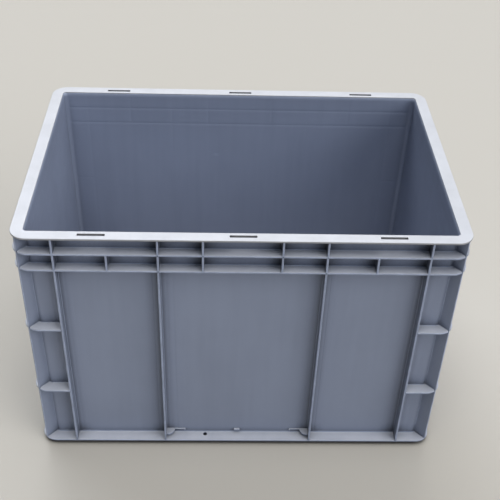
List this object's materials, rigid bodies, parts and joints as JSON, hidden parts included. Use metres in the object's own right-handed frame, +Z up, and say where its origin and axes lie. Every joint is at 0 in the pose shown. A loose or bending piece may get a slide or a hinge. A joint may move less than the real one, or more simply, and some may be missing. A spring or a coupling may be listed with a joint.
{
  "type": "rigid stacking storage crate",
  "caption": "Rigid open-top rectangular storage crate with ribbed walls, a flat slotted rim, end grips and a stepped base for stacking.",
  "frame": {"origin": "centre of the crate's footprint, on the surface it stands on", "axes": "+X along the long side, +Y from the front side (with the card clips) to the rear side, +Z up"},
  "size_m": [0.6, 0.4, 0.4],
  "materials": {
    "shell_plastic": "matt blue-grey polypropylene with a fine moulded grain",
    "rim_plastic": "the same plastic, rubbed a little smoother and paler by handling"
  },
  "bodies": {
    "root": {"corner_post_front_left": "shell_plastic", "corner_post_front_right": "shell_plastic", "corner_post_rear_left": "shell_plastic", "corner_post_rear_right": "shell_plastic", "floor_panel": "shell_plastic", "front_band_ledge_lower": "shell_plastic", "front_band_ledge_upper": "shell_plastic", "front_base_flange": "shell_plastic", "front_card_clip_left": "shell_plastic", "front_card_clip_right": "shell_plastic", "front_card_stop": "shell_plastic", "front_corner_ledge_lower_left": "shell_plastic", "front_corner_ledge_lower_right": "shell_plastic", "front_corner_ledge_upper_left": "shell_plastic", "front_corner_ledge_upper_right": "shell_plastic", "front_long_rib_inner_left": "shell_plastic", "front_long_rib_inner_right": "shell_plastic", "front_long_rib_outer_left": "shell_plastic", "front_long_rib_outer_right": "shell_plastic", "front_short_rib_left": "shell_plastic", "front_short_rib_right": "shell_plastic", "front_stub_rib_left": "shell_plastic", "front_stub_rib_right": "shell_plastic", "front_wall": "shell_plastic", "left_base_flange": "shell_plastic", "left_corner_bracket_a": "shell_plastic", "left_corner_bracket_b": "shell_plastic", "left_grip_bracket_a": "shell_plastic", "left_grip_bracket_b": "shell_plastic", "left_grip_shell": "shell_plastic", "left_wall": "shell_plastic", "rear_band_ledge_lower": "shell_plastic", "rear_band_ledge_upper": "shell_plastic", "rear_base_flange": "shell_plastic", "rear_corner_ledge_lower_left": "shell_plastic", "rear_corner_ledge_lower_right": "shell_plastic", "rear_corner_ledge_upper_left": "shell_plastic", "rear_corner_ledge_upper_right": "shell_plastic", "rear_long_rib_inner_left": "shell_plastic", "rear_long_rib_inner_right": "shell_plastic", "rear_long_rib_outer_left": "shell_plastic", "rear_long_rib_outer_right": "shell_plastic", "rear_short_rib_left": "shell_plastic", "rear_short_rib_right": "shell_plastic", "rear_stub_rib_left": "shell_plastic", "rear_stub_rib_right": "shell_plastic", "rear_wall": "shell_plastic", "right_base_flange": "shell_plastic", "right_corner_bracket_a": "shell_plastic", "right_corner_bracket_b": "shell_plastic", "right_grip_bracket_a": "shell_plastic", "right_grip_bracket_b": "shell_plastic", "right_grip_shell": "shell_plastic", "right_wall": "shell_plastic", "rim_front": "rim_plastic", "rim_left": "rim_plastic", "rim_rear": "rim_plastic", "rim_right": "rim_plastic"}
  },
  "joints": []
}
